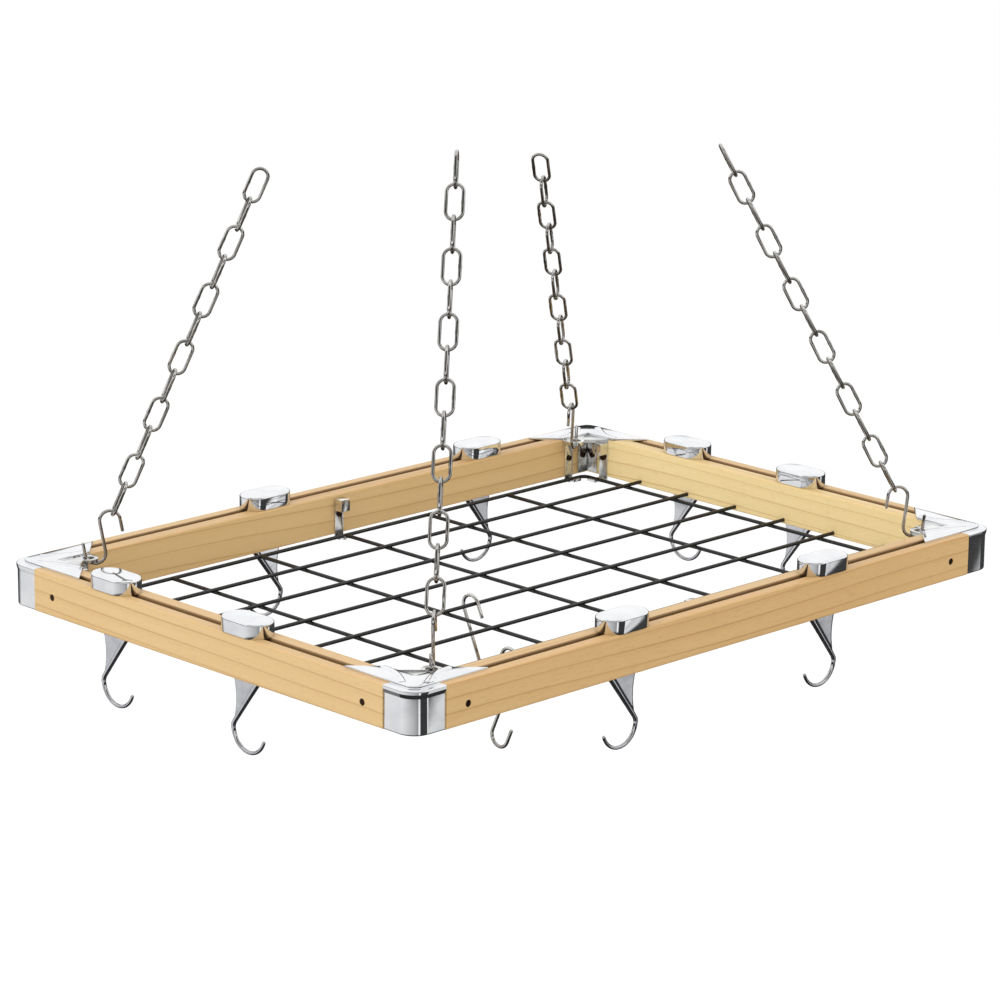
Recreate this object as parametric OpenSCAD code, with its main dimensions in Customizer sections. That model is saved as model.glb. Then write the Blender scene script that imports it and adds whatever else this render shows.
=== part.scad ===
// Hanging pot rack: a wooden frame of twin-board rails with metal corners, a wire
// grid inside it, eight pot hooks that slide in the rails, two loose hooks on the
// grid, and a chain from each corner. Sizes are in millimetres and Z is up.
// The origin is on the frame's centre line, level with the lowest hook.

/* [Frame] */
// Overall length of the frame
frame_l = 840; // [760:1:1000]
// Overall width of the frame
frame_w = 600; // [560:1:760]
// Height of the rails
rail_h = 44; // [40:0.5:55]
// Thickness of the outer boards
outer_t = 13; // [11:0.5:18]
// Width of the slot between the boards
slot_w = 7; // [6.6:0.1:9]
// Thickness of the inner boards
inner_t = 16; // [15:0.5:22]
// Radius of the boards' long edges
board_r = 2; // [1:0.25:3]

/* [Corners] */
// Length of the corner post along each face
post_l = 42; // [34:1:50]
// Outer radius of the corner post
post_r = 20; // [10:1:24]
// Thickness of the plate on top of a corner
plate_t = 2.5; // [1.5:0.25:4]
// Step from the outer faces back to the plate's edge
plate_in = 8.5; // [4:0.5:11]
// Where the plate's diagonal end cuts the outer corner's two edges
plate_cut = 112; // [90:1:116]
// Width of the raised band along the plate's inner edge
band_w = 3; // [2:0.5:5]
// Height of the raised band
band_h = 1; // [0.5:0.25:2]
// Length of the tongues that fill the slot, from the outer corner
tongue_l = 84; // [78:1:95]
// Step from the rail's top and bottom to a tongue
tongue_in = 2; // [1:0.5:5]

/* [Screws] */
// Distance of a frame screw from the corner
screw_at = 70; // [62:1:75]
// Height of the frame screws above the rail's underside
screw_z = 20; // [14:0.5:28]
// Diameter of a frame screw's head
screw_head_d = 7; // [6:0.25:9]
// Depth of the pocket that the head sits in
screw_pocket = 2.5; // [1:0.25:4]
// Diameter of a frame screw's shank
screw_d = 4; // [3:0.25:5]
// Height of a frame screw's head
screw_head_t = 2; // [1:0.1:2.2]
// Depth of a frame screw in the inner board
screw_bite = 8; // [6:0.5:8]
// Diameter of the small screws in the brackets and clips
small_screw_d = 3; // [2:0.25:4]
// Diameter of a small screw's head
small_head_d = 6; // [5:0.25:6.5]
// Height of a small screw's head
small_head_t = 1.6; // [1:0.1:2]
// Depth of the small screws in the wood
small_bite = 7; // [5:0.5:7]

/* [Chain brackets] */
// Length of a bracket's wings along the inner faces
wing_l = 17; // [15:0.5:18]
// Thickness of the wings
wing_t = 2; // [1.5:0.25:3]
// Thickness of the eye tab
tab_t = 4; // [3:0.25:5]
// Length of the tab's side along the long rail
tab_long = 36; // [32:0.5:40]
// Length of the tab's side along the short rail
tab_short = 33; // [28:0.5:38]
// Distance of the eye from the short rail's inner face
eye_long = 30.5; // [28:0.5:34]
// Distance of the eye from the long rail's inner face
eye_short = 10.5; // [10.5:0.5:14]
// Diameter of the eye
eye_d = 12; // [11.5:0.25:12.5]
// Width of the metal around the eye
eye_rim = 4; // [3.5:0.25:4]

/* [Wire grid] */
// Diameter of the grid's wires
grid_d = 4; // [3:0.25:5]
// Height of the long wires' centres above the rail's underside
grid_z = 4.5; // [3.5:0.25:6]
// Spacing of the long wires
long_pitch = 72; // [60:1:80]
// Number of long wires
long_count = 6; // [4:2:6]
// Spacing of the cross wires
cross_pitch = 122; // [100:1:130]
// Number of cross wires
cross_count = 5; // [3:2:5]
// Distance of the rim wire from the long rails
rim_gap_y = 12; // [10:0.5:14]
// Distance of the rim wire from the short rails
rim_gap_x = 17; // [13:0.5:20]
// Bend radius of the rim's corners
rim_r = 8; // [6:0.5:8]
// Depth of the long wires' ends in the short rails
wire_bite = 13; // [6:0.5:14]

/* [Grid clips] */
// Width of a clip
clip_w = 12; // [10:0.5:12]
// Distance of a long rail's corner clip from the inner corner
clip_at = 31.5; // [31.5:0.5:40]
// Thickness of the clip's strip
clip_t = 1.5; // [1:0.25:2]
// Height of the clip's upper end above the rail's underside
clip_top = 40; // [34:0.5:40]
// Height of the block at the clip's upper end
clip_block_h = 13; // [8:0.5:14]
// Depth of the block
clip_block_d = 12; // [6:0.5:12]

/* [Rail hooks] */
// Length of a hook's cap
cap_l = 60; // [56:1:80]
// Width of a cap
cap_w = 35; // [28:0.5:35]
// Height of a cap
cap_h = 15; // [12:0.5:20]
// Wall of a cap
cap_wall = 2.5; // [2:0.25:3]
// Radius of a cap's upper edge
cap_edge = 2.4; // [1:0.1:2.4]
// Gap between a cap and the boards
cap_gap = 0.1; // [0.05:0.05:0.3]
// Width of a hook's blade in the slot
blade_w = 40; // [30:1:46]
// Thickness of the blade
blade_t = 4; // [3:0.25:5]
// Depth of the blade's concave edge
waist = 4; // [2:0.5:6]
// Depth of the neck below the rail's underside
neck_z = 55; // [48:1:65]
// Diameter of the rib along the slanted edge
rib_d = 5.2; // [4.8:0.1:5.6]
// Diameter of the round bar of the J
bar_d = 4.6; // [4:0.1:5]
// Radius of the J at the bar's centre
j_r = 23; // [18:0.5:26]
// Angle that the J turns through
j_turn = 160; // [140:1:175]

/* [Loose hooks] */
// Diameter of a loose hook's wire
loose_d = 3.6; // [3:0.1:4.5]
// Radius of its two bends at the wire's centre
loose_r = 11; // [9:0.5:14]
// Length of its stem
loose_stem = 80; // [60:1:100]
// Length of its two ends past the bends
loose_leg = 16; // [8:1:20]
// Lean of its stem when it hangs
loose_lean = 24; // [20:0.5:26]
// Gap between a loose hook and the grid wire
loose_gap = 0.15; // [0.05:0.05:0.4]

/* [Chains] */
// Diameter of the hook wire between a chain and its bracket
eye_hook_d = 3.5; // [3:0.1:4]
// Radius of that hook's two bends at the wire's centre
eye_hook_r = 10.5; // [10:0.25:11]
// Length of that hook's stem
eye_hook_stem = 31; // [30:1:40]
// Length of that hook's ends past the bends
eye_hook_leg = 14; // [6:1:14]
// Diameter of the links' wire
link_d = 3.4; // [2.8:0.1:3.8]
// Length of a link
link_l = 38.8; // [34:0.2:46]
// Width of a link
link_w = 20; // [17:0.5:22]
// Gap between linked pieces
link_gap = 0.15; // [0.05:0.05:0.3]
// Number of links in the lower run of each chain
run_links = 6; // [4:1:8]
// Number of links in the front left chain
links_fl = 14; // [10:1:20]
// Number of links in the front right chain
links_fr = 13; // [10:1:20]
// Number of links in the back left chain
links_bl = 12; // [10:1:20]
// Number of links in the back right chain
links_br = 11; // [10:1:20]
// Place along the rack at which the four chains would meet
apex_x = -27; // [-60:1:60]
// Place across the rack at which the four chains would meet
apex_y = 27; // [-60:1:60]
// Height above the rails' underside at which the four chains would meet
apex_z = 932; // [700:1:1400]

/* [Hook places] */
// Distance of the front rail's left hook from the left corner
hook_front_left_at = 292; // [145:1:339]
// Distance of the front rail's right hook from the right corner
hook_front_right_at = 255; // [145:1:339]
// Distance of the back rail's left hook from the left corner
hook_back_left_at = 332; // [145:1:339]
// Distance of the back rail's right hook from the right corner
hook_back_right_at = 193; // [145:1:339]
// Distance of the left rail's front hook from the front corner
hook_left_front_at = 250; // [140:1:258]
// Distance of the left rail's back hook from the back corner
hook_left_back_at = 152; // [140:1:220]
// Distance of the right rail's front hook from the front corner
hook_right_front_at = 258; // [140:1:258]
// Distance of the right rail's back hook from the back corner
hook_right_back_at = 173; // [140:1:220]
// Place along the grid of the inner loose hook
loose_inner_x = -85; // [-110:1:-20]
// Place along the grid of the outer loose hook
loose_outer_x = -184; // [-230:1:-140]

/* [Hidden] */

$fn = 48;
// a small step past a face, so that a cut goes right through it
past = 1;
// slack around shanks and tongues
slack = 0.1;
// gap between touching pieces that aren't fixed to each other by shape
touch = 0.05;

// a rail's cross-section, from its outer face inwards
inner_y = outer_t + slot_w;
rail_w = inner_y + inner_t;
slot_y = outer_t + slot_w / 2;
slot_line_x = frame_l / 2 - slot_y;
slot_line_y = frame_w / 2 - slot_y;
// the opening inside the rails
open_l = frame_l - 2 * rail_w;
open_w = frame_w - 2 * rail_w;

// corner places and turns, in the order front left, front right, back left, back right
FL = 0;
FR = 1;
BL = 2;
BR = 3;
corner_x = [-1, 1, -1, 1];
corner_y = [-1, -1, 1, 1];
corner_turn = [0, 90, 270, 180];

// grid heights: the cross wires and the rim are welded under the long wires
cross_z = grid_z - grid_d - touch;
rim_x = open_l / 2 - rim_gap_x;
rim_y = open_w / 2 - rim_gap_y;
loose_inner_y = -long_pitch / 2;
loose_outer_y = -long_pitch * 5 / 2;

// a loose hook hangs with its middle straight below the grid wire
loose_reach = loose_r - loose_d / 2 - grid_d / 2 - loose_gap;
loose_side = loose_stem / 2 * sin(loose_lean) - loose_r * cos(loose_lean);
loose_bend_z = -sqrt(loose_reach * loose_reach - loose_side * loose_side);
loose_mid_z = loose_bend_z - loose_stem / 2 * cos(loose_lean) - loose_r * sin(loose_lean);
loose_low = loose_mid_z * 2 - loose_bend_z - loose_r - loose_d / 2;
// height of the rails' underside above the origin
base_z = -(grid_z + loose_low);

// the eye and the hook that hangs in it, seen along the chain's upright plane; the
// hook's lower bend goes round the rim a little inside the rim's middle
eye_x = open_l / 2 - eye_long;
eye_y = open_w / 2 - eye_short;
tab_r = eye_d / 2 + eye_rim;
bend_in = eye_hook_r - eye_hook_d / 2;
ring_in = 0.75;
ring_d = eye_d / 2 + eye_rim / 2 - ring_in;
web_out = tab_r - ring_d;
ring_z = rail_h - tab_t + sqrt(pow(bend_in - link_gap, 2) - web_out * web_out);
eye_hook_span = norm([eye_hook_stem, 2 * eye_hook_r]);
eye_hook_turn = atan(2 * eye_hook_r / eye_hook_stem);
// the way from each eye to the point where the chains would meet, and each chain's tilt
chain_way = [for (k = [FL, FR, BL, BR]) [apex_x - corner_x[k] * eye_x, apex_y - corner_y[k] * eye_y]];
chain_tilt = [for (k = [FL, FR, BL, BR]) atan((norm(chain_way[k]) - ring_d) / (apex_z - ring_z))];
// links: distance between centres, and from the hook's bend to the first centre
link_half = link_l / 2 - link_d / 2;
link_pitch = link_l - 2 * link_d - link_gap;
first_link = eye_hook_r - eye_hook_d / 2 - link_d / 2 - link_gap + link_half;

// corner plate: radius of its outer corner, and of the arc that its band follows
plate_r = post_r - plate_in;
band_r = 16;

// clips: their upper end, their screws' height and their places along the rails
clip_end_z = min(clip_top, rail_h - tab_t - touch);
clip_screw_z = clip_end_z - clip_block_h - small_head_d / 2 - 2;
clips_long = [-open_l / 2 + clip_at, 0, open_l / 2 - clip_at];
clip_short_at = clip_at - rim_gap_x + rim_gap_y;
clips_short = [-open_w / 2 + clip_short_at, open_w / 2 - clip_short_at];

// where the hooks' parts lie: s runs along the rail, z goes down from its underside
neck_out = 2;
bend_back = 3.5;
bend_up = 6.5;
rib_up = 4;
blade_low = 8;
neck_s = blade_w / 2 + neck_out;
rib_top_s = -blade_w / 2;
rib_bend_s = neck_s - bend_back;
rib_bend_z = neck_z - bend_up;
blade_end_z = neck_z - neck_out;
blade_top = rail_h + cap_gap + cap_h - cap_wall - touch;
// the head that holds the blade in its cap
head_l = 26;
head_w = 22;
head_t = 2.5;
// the smallest radius that an inset edge keeps
least_r = 0.1;

// ---- helpers ----

module lifted() {
    translate([0, 0, base_z]) children();
}

// a corner's own frame: the outer corner at the origin, the faces along +X and +Y
module at_corner(k) {
    translate([corner_x[k] * frame_l / 2, corner_y[k] * frame_w / 2, base_z])
        rotate(corner_turn[k]) children();
}

// a rail's own frame: the outer face at Y = 0, the inside towards +Y
module at_long_rail(side) {
    rotate(side < 0 ? 0 : 180) translate([0, -frame_w / 2, base_z]) children();
}

module at_short_rail(side) {
    rotate(side < 0 ? -90 : 90) translate([0, -frame_l / 2, base_z]) children();
}

// an inner corner's own frame: +X runs along the long rail, +Y along the short one
module at_inner_corner(k) {
    translate([corner_x[k] * open_l / 2, corner_y[k] * open_w / 2, base_z])
        mirror([corner_x[k] + 1, 0, 0]) mirror([0, corner_y[k] + 1, 0]) children();
}

// a chain's own frame: the hook's lower bend at the origin, +X towards the meeting point
module at_eye(k) {
    translate([corner_x[k] * eye_x, corner_y[k] * eye_y, base_z + ring_z])
        rotate(atan2(chain_way[k][1], chain_way[k][0])) translate([ring_d, 0, 0]) children();
}

// stands a flat drawing upright: its Y becomes Z
module upright() {
    rotate([90, 0, 0]) children();
}

module hole_y(x, z, d, y0, y1) {
    translate([x, y0, z]) rotate([-90, 0, 0]) cylinder(d = d, h = y1 - y0);
}

module rounded_rect(w, h, r) {
    translate([r, 0]) square([w - 2 * r, h]);
    translate([0, r]) square([w, h - 2 * r]);
    for (x = [r, w - r], y = [r, h - r]) translate([x, y]) circle(r);
}

// ---- boards ----

module board(length, thickness, y) {
    translate([-length / 2, y, 0]) rotate([90, 0, 90])
        linear_extrude(length) rounded_rect(thickness, rail_h, board_r);
}

module outer_board(length, span) {
    color("burlywood") difference() {
        board(length, outer_t, 0);
        for (s = [-1, 1]) {
            hole_y(s * (span / 2 - screw_at), screw_z, screw_d + 2 * slack, -past, outer_t + past);
            hole_y(s * (span / 2 - screw_at), screw_z, screw_head_d + 2 * slack, -past, screw_pocket);
        }
    }
}

module inner_board(length, span, opening, clips) {
    color("tan") difference() {
        board(length, inner_t, inner_y);
        for (s = [-1, 1]) {
            hole_y(s * (span / 2 - screw_at), screw_z, screw_d, inner_y - past, inner_y + screw_bite + slack);
            hole_y(s * (opening / 2 - wing_l / 2 - wing_t / 2), rail_h / 2, small_screw_d,
                rail_w - small_bite - slack, rail_w + past);
        }
        for (x = clips)
            hole_y(x, clip_screw_z, small_screw_d, rail_w - small_bite - slack, rail_w + past);
    }
}

// the grid's long wires end in holes in the short rails
module short_inner_board() {
    difference() {
        inner_board(open_w, frame_w, open_w, clips_short);
        color("tan") for (i = [0:long_count - 1])
            hole_y((i - (long_count - 1) / 2) * long_pitch, grid_z, grid_d + 2 * slack,
                rail_w - wire_bite - slack, rail_w + past);
    }
}

// ---- corners ----

module corner() {
    color("gainsboro") {
        difference() {
            union() {
                // the post wraps the corner; its legs butt against the outer boards
                linear_extrude(rail_h) post_shape();
                // tongues in the slots
                translate([0, 0, tongue_in]) linear_extrude(rail_h - 2 * tongue_in) tongue_shape();
                // the plate on top, with its raised inner band
                translate([0, 0, rail_h]) linear_extrude(plate_t) plate_shape();
                translate([0, 0, rail_h]) linear_extrude(plate_t + band_h) band_shape();
            }
            hole_y(screw_at, screw_z, screw_d + 2 * slack, -past, rail_w);
            rotate([0, 0, 90]) mirror([0, 1, 0])
                hole_y(screw_at, screw_z, screw_d + 2 * slack, -past, rail_w);
        }
    }
}

module post_shape() {
    difference() {
        union() {
            translate([post_r, post_r]) circle(post_r);
            translate([post_r, 0]) square([post_l - post_r - touch, outer_t]);
            translate([0, post_r]) square([outer_t, post_l - post_r - touch]);
            translate([outer_t, outer_t]) square([slot_w - touch, slot_w - touch]);
        }
        translate([inner_y - touch, inner_y - touch]) square(post_r * 2);
    }
}

module tongue_shape() {
    translate([outer_t - slack, outer_t + slack]) square([tongue_l - outer_t + slack, slot_w - 2 * slack]);
    translate([outer_t + slack, outer_t - slack]) square([slot_w - 2 * slack, tongue_l - outer_t + slack]);
}

module plate_shape() {
    difference() {
        union() {
            translate([post_r, post_r]) circle(plate_r);
            translate([post_r, plate_in]) square([plate_cut, rail_w - plate_in]);
            translate([plate_in, post_r]) square([rail_w - plate_in, plate_cut]);
            translate([post_r, post_r]) square([rail_w - post_r, rail_w - post_r]);
        }
        past_the_diagonal();
    }
}

// all that lies past the diagonal on which the plate's wings end
module past_the_diagonal() {
    translate([plate_cut, 0]) rotate(45) translate([0, -plate_cut * 2]) square([plate_cut, plate_cut * 4]);
}

// the band follows the inner edge round the corner on an arc
module band_shape() {
    difference() {
        union() {
            translate([rail_w - band_w, rail_w - band_w]) square([plate_cut, band_w]);
            translate([rail_w - band_w, rail_w - band_w]) square([band_w, plate_cut]);
            translate([rail_w - band_w, rail_w - band_w]) band_arc(band_r);
        }
        past_the_diagonal();
        translate([rail_w, rail_w]) square(plate_cut * 2);
    }
}

module band_arc(r) {
    translate([-r / 2, -r / 2]) difference() {
        square([r / 2 + band_w, r / 2 + band_w]);
        translate([r + band_w, r + band_w]) circle(r + 1);
    }
}

module frame_screw(along) {
    color("dimgray") {
        hole_y(along, screw_z, screw_head_d, screw_pocket - screw_head_t, screw_pocket - touch);
        hole_y(along, screw_z, screw_d, screw_pocket - 2 * touch, inner_y + screw_bite);
    }
}

// ---- chain brackets, in the inner corner's frame ----

module bracket() {
    color("silver") difference() {
        union() {
            translate([touch, touch, tongue_in]) cube([wing_l, wing_t, rail_h - tongue_in]);
            translate([touch, touch, tongue_in]) cube([wing_t, wing_l, rail_h - tongue_in]);
            translate([0, 0, rail_h - tab_t]) linear_extrude(tab_t) tab_shape();
        }
        translate([eye_long, eye_short, 0]) cylinder(d = eye_d, h = rail_h + past);
        for (turn = [0, 1]) mirror([turn, -turn, 0])
            hole_y(wing_l / 2 + wing_t / 2, rail_h / 2, small_screw_d + 2 * slack, -past, wing_t + past);
    }
}

// the tab: a triangle in the corner, and a round nose about the eye
module tab_shape() {
    polygon([[touch, touch], [tab_long, touch], [touch, tab_short]]);
    translate([eye_long - tab_r, touch]) square([2 * tab_r, eye_short - touch]);
    translate([eye_long, eye_short]) circle(tab_r);
}

// ---- grid ----

module wire_x(x0, x1, y, z, d) {
    translate([x0, y, z]) rotate([0, 90, 0]) cylinder(d = d, h = x1 - x0);
}

module grid_long_wires() {
    color("black") for (i = [0:long_count - 1])
        wire_x(-open_l / 2 - wire_bite, open_l / 2 + wire_bite, (i - (long_count - 1) / 2) * long_pitch, grid_z, grid_d);
}

module grid_cross_wires() {
    half = rim_y - grid_d / 2 - touch;
    color("black") for (i = [0:cross_count - 1])
        translate([(i - (cross_count - 1) / 2) * cross_pitch, 0, 0]) rotate(90)
            wire_x(-half, half, 0, cross_z, grid_d);
}

module grid_rim_wire() {
    color("black") {
        for (s = [-1, 1]) {
            wire_x(-rim_x + rim_r, rim_x - rim_r, s * rim_y, cross_z, grid_d);
            rotate(90) wire_x(-rim_y + rim_r, rim_y - rim_r, s * rim_x, cross_z, grid_d);
        }
        for (k = [FL, FR, BL, BR])
            translate([corner_x[k] * (rim_x - rim_r), corner_y[k] * (rim_y - rim_r), cross_z])
                rotate(corner_turn[k] + 180) rotate_extrude(angle = 90) translate([rim_r, 0]) circle(d = grid_d);
    }
}

// ---- grid clips, in a rail's frame ----

module clip(x, reach, block, straddle) {
    y0 = rail_w + touch;
    floor_z = cross_z - grid_d / 2 - touch - clip_t;
    lip_y = rail_w + reach + grid_d / 2 + touch;
    color("whitesmoke") translate([x, 0, 0]) difference() {
        union() {
            translate([-clip_w / 2, y0, floor_z]) cube([clip_w, clip_t, clip_end_z - floor_z]);
            if (block)
                translate([-clip_w / 2, y0, clip_end_z - clip_block_h]) cube([clip_w, clip_block_d, clip_block_h]);
            translate([-clip_w / 2, y0, floor_z]) cube([clip_w, lip_y - y0 + clip_t, clip_t]);
            translate([-clip_w / 2, lip_y, floor_z]) cube([clip_w, clip_t, grid_d / 2 + clip_t + touch]);
            translate([-clip_w / 2, y0 + clip_t, floor_z - clip_t]) cube([clip_w, reach / 2, clip_t]);
        }
        hole_y(0, clip_screw_z, small_screw_d + 2 * slack, y0 - past, y0 + clip_t + past);
        if (straddle)
            translate([-grid_d / 2 - 2 * slack, lip_y - past, floor_z - past])
                cube([grid_d + 4 * slack, clip_t + 2 * past, grid_d + clip_t + 2 * past]);
    }
}

module small_screw(x, z, y) {
    color("dimgray") {
        hole_y(x, z, small_screw_d, y - small_bite, y + small_head_t);
        hole_y(x, z, small_head_d, y + touch, y + small_head_t);
    }
}

// ---- rail hooks, in a slot's frame: Y = 0 in the slot, Z from the rail's underside ----

module at_slot(x, y, turn) {
    translate([x, y, base_z]) rotate(turn) children();
}

module cap_profile(inset) {
    w = cap_w / 2 - inset;
    h = cap_h - inset;
    r = max(cap_edge - inset, least_r);
    square([w - r, h]);
    square([w, h - r]);
    translate([w - r, h - r]) circle(r);
}

module cap_solid(inset) {
    straight = cap_l - cap_w;
    for (s = [0, 180]) rotate(s) translate([straight / 2, 0, 0])
        rotate(-90) rotate_extrude(angle = 180) cap_profile(inset);
    for (s = [0, 1]) mirror([0, s, 0]) translate([-straight / 2, 0, 0])
        rotate([90, 0, 90]) linear_extrude(straight) cap_profile(inset);
}

module cap() {
    color("white") translate([0, 0, rail_h + cap_gap]) difference() {
        cap_solid(0);
        cap_solid(cap_wall);
    }
}

module pot_hook() {
    edge_h = blade_end_z - blade_low / 2;
    edge_r = (edge_h * edge_h / 4 + waist * waist) / (2 * waist);
    color("gainsboro") {
        upright() difference() {
            linear_extrude(blade_t, center = true) polygon([
                [-blade_w / 2, blade_top], [blade_w / 2, blade_top],
                [blade_w / 2, -blade_end_z], [rib_bend_s, -rib_bend_z],
                [rib_top_s, -blade_low / 2]]);
            translate([blade_w / 2 - waist + edge_r, -blade_low / 2 - edge_h / 2, -blade_t])
                cylinder(r = edge_r, h = 2 * blade_t, $fn = 120);
        }
        // the head that holds the blade in its cap
        translate([-head_l / 2, -head_w / 2, blade_top - head_t]) cube([head_l, head_w, head_t]);
        rod([rib_top_s, rib_up], [rib_bend_s, -rib_bend_z], rib_d);
        rod([rib_bend_s, -rib_bend_z], [neck_s, -neck_z], rib_d - 0.2);
        translate([rib_bend_s, 0, -rib_bend_z]) sphere(d = rib_d + 0.2);
        translate([neck_s, 0, -neck_z]) sphere(d = rib_d + 0.1);
        // the J
        translate([neck_s - j_r, 0, -neck_z]) upright() rotate(-j_turn)
            rotate_extrude(angle = j_turn) translate([j_r, 0]) circle(d = bar_d);
        translate([neck_s - j_r + j_r * cos(j_turn), 0, -neck_z - j_r * sin(j_turn)]) sphere(d = bar_d + 0.8);
    }
}

// a round rod between two points of the hook's plane
module rod(a, b, d) {
    run = b - a;
    translate([a[0], 0, a[1]]) rotate([0, atan2(run[0], run[1]), 0]) cylinder(d = d, h = norm(run));
}

// ---- hooks of bent wire, drawn flat: stem from the origin down, bends right above, left below ----

module wire_hook(d, r, stem, leg) {
    flat_rod([0, 0], [0, -stem], d);
    translate([r, 0]) rotate_extrude(angle = 180) translate([r, 0]) circle(d = d);
    flat_rod([2 * r, 0], [2 * r, -leg], d);
    translate([-r, -stem]) rotate(180) rotate_extrude(angle = 180) translate([r, 0]) circle(d = d);
    flat_rod([-2 * r, -stem], [-2 * r, leg - stem], d);
}

module flat_rod(a, b, d) {
    translate([a[0], a[1], 0]) rotate([b[1] < a[1] ? 90 : -90, 0, 0]) cylinder(d = d, h = abs(b[1] - a[1]));
}

// hangs on a grid wire that runs along X; side = 1 leans its stem towards +Y going down
module loose_hook(x, y, side) {
    color("lightgray") translate([x, y, base_z + grid_z]) rotate(side * 90)
        translate([0, 0, loose_mid_z]) upright() rotate(loose_lean)
            translate([0, loose_stem / 2]) wire_hook(loose_d, loose_r, loose_stem, loose_leg);
}

// ---- chains, in a chain's frame ----

module eye_hook(k) {
    color("lightgray") at_eye(k) upright() rotate(eye_hook_turn - chain_tilt[k])
        translate([eye_hook_r, eye_hook_stem]) wire_hook(eye_hook_d, eye_hook_r, eye_hook_stem, eye_hook_leg);
}

module link(turn) {
    bend = link_w / 2 - link_d / 2;
    straight = link_l - link_w;
    rotate(turn) upright() for (s = [0, 180]) rotate(s) {
        translate([0, straight / 2]) rotate_extrude(angle = 180) translate([bend, 0]) circle(d = link_d);
        translate([bend, straight / 2]) rotate([90, 0, 0]) cylinder(d = link_d, h = straight);
    }
}

// links number i0 to i1, counted from 1 at the hook
module chain(k, i0, i1) {
    color("silver") at_eye(k) rotate([0, chain_tilt[k], 0])
        for (i = [i0:i1])
            translate([0, 0, eye_hook_span + first_link + (i - 1) * link_pitch]) link(i % 2 == 1 ? 90 : 0);
}

// ---- nodes ----

at_long_rail(-1) outer_board(frame_l - 2 * post_l, frame_l);  // outer_board_front
at_long_rail(1) outer_board(frame_l - 2 * post_l, frame_l);  // outer_board_back
at_short_rail(-1) outer_board(frame_w - 2 * post_l, frame_w);  // outer_board_left
at_short_rail(1) outer_board(frame_w - 2 * post_l, frame_w);  // outer_board_right

at_long_rail(-1) inner_board(frame_l - 2 * inner_y, frame_l, open_l, clips_long);  // inner_board_front
at_long_rail(1) inner_board(frame_l - 2 * inner_y, frame_l, open_l, clips_long);  // inner_board_back
at_short_rail(-1) short_inner_board();  // inner_board_left
at_short_rail(1) short_inner_board();  // inner_board_right

at_corner(FL) corner();  // corner_front_left
at_corner(FR) corner();  // corner_front_right
at_corner(BL) corner();  // corner_back_left
at_corner(BR) corner();  // corner_back_right

at_inner_corner(FL) bracket();  // bracket_front_left
at_inner_corner(FR) bracket();  // bracket_front_right
at_inner_corner(BL) bracket();  // bracket_back_left
at_inner_corner(BR) bracket();  // bracket_back_right

for (side = [-1, 1], s = [-1, 1]) {  // frame_screws
    at_long_rail(side) frame_screw(s * (frame_l / 2 - screw_at));
    at_short_rail(side) frame_screw(s * (frame_w / 2 - screw_at));
}
for (side = [-1, 1], s = [-1, 1]) {  // bracket_screws
    at_long_rail(side) small_screw(s * (open_l / 2 - wing_l / 2 - wing_t / 2), rail_h / 2, rail_w + wing_t + touch);
    at_short_rail(side) small_screw(s * (open_w / 2 - wing_l / 2 - wing_t / 2), rail_h / 2, rail_w + wing_t + touch);
}
for (side = [-1, 1]) {  // clip_screws
    at_long_rail(side) for (x = clips_long) small_screw(x, clip_screw_z, rail_w + clip_t + touch);
    at_short_rail(side) for (x = clips_short) small_screw(x, clip_screw_z, rail_w + clip_t + touch);
}

lifted() grid_long_wires();
lifted() grid_cross_wires();
lifted() grid_rim_wire();
for (side = [-1, 1], x = clips_long)  // clips_long_rails
    at_long_rail(side) clip(x, rim_gap_y, x == 0, x == 0);
for (side = [-1, 1], x = clips_short)  // clips_short_rails
    at_short_rail(side) clip(x, rim_gap_x, true, false);

at_slot(hook_front_left_at - frame_l / 2, -slot_line_y, 0) cap();  // cap_front_left
at_slot(frame_l / 2 - hook_front_right_at, -slot_line_y, 0) cap();  // cap_front_right
at_slot(hook_back_left_at - frame_l / 2, slot_line_y, 0) cap();  // cap_back_left
at_slot(frame_l / 2 - hook_back_right_at, slot_line_y, 0) cap();  // cap_back_right
at_slot(-slot_line_x, hook_left_front_at - frame_w / 2, 90) cap();  // cap_left_front
at_slot(-slot_line_x, frame_w / 2 - hook_left_back_at, 90) cap();  // cap_left_back
at_slot(slot_line_x, hook_right_front_at - frame_w / 2, 90) cap();  // cap_right_front
at_slot(slot_line_x, frame_w / 2 - hook_right_back_at, 90) cap();  // cap_right_back

at_slot(hook_front_left_at - frame_l / 2, -slot_line_y, 0) pot_hook();  // hook_front_left
at_slot(frame_l / 2 - hook_front_right_at, -slot_line_y, 0) pot_hook();  // hook_front_right
at_slot(hook_back_left_at - frame_l / 2, slot_line_y, 0) pot_hook();  // hook_back_left
at_slot(frame_l / 2 - hook_back_right_at, slot_line_y, 0) pot_hook();  // hook_back_right
at_slot(-slot_line_x, hook_left_front_at - frame_w / 2, 90) pot_hook();  // hook_left_front
at_slot(-slot_line_x, frame_w / 2 - hook_left_back_at, 90) pot_hook();  // hook_left_back
at_slot(slot_line_x, hook_right_front_at - frame_w / 2, 90) pot_hook();  // hook_right_front
at_slot(slot_line_x, frame_w / 2 - hook_right_back_at, 90) pot_hook();  // hook_right_back

loose_hook(loose_inner_x, loose_inner_y, -1);  // loose_hook_inner
loose_hook(loose_outer_x, loose_outer_y, 1);  // loose_hook_outer

eye_hook(FL);  // eye_hook_front_left
eye_hook(FR);  // eye_hook_front_right
eye_hook(BL);  // eye_hook_back_left
eye_hook(BR);  // eye_hook_back_right

chain(FL, 1, run_links);  // chain_lower_front_left
chain(FR, 1, run_links);  // chain_lower_front_right
chain(BL, 1, run_links);  // chain_lower_back_left
chain(BR, 1, run_links);  // chain_lower_back_right

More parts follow.
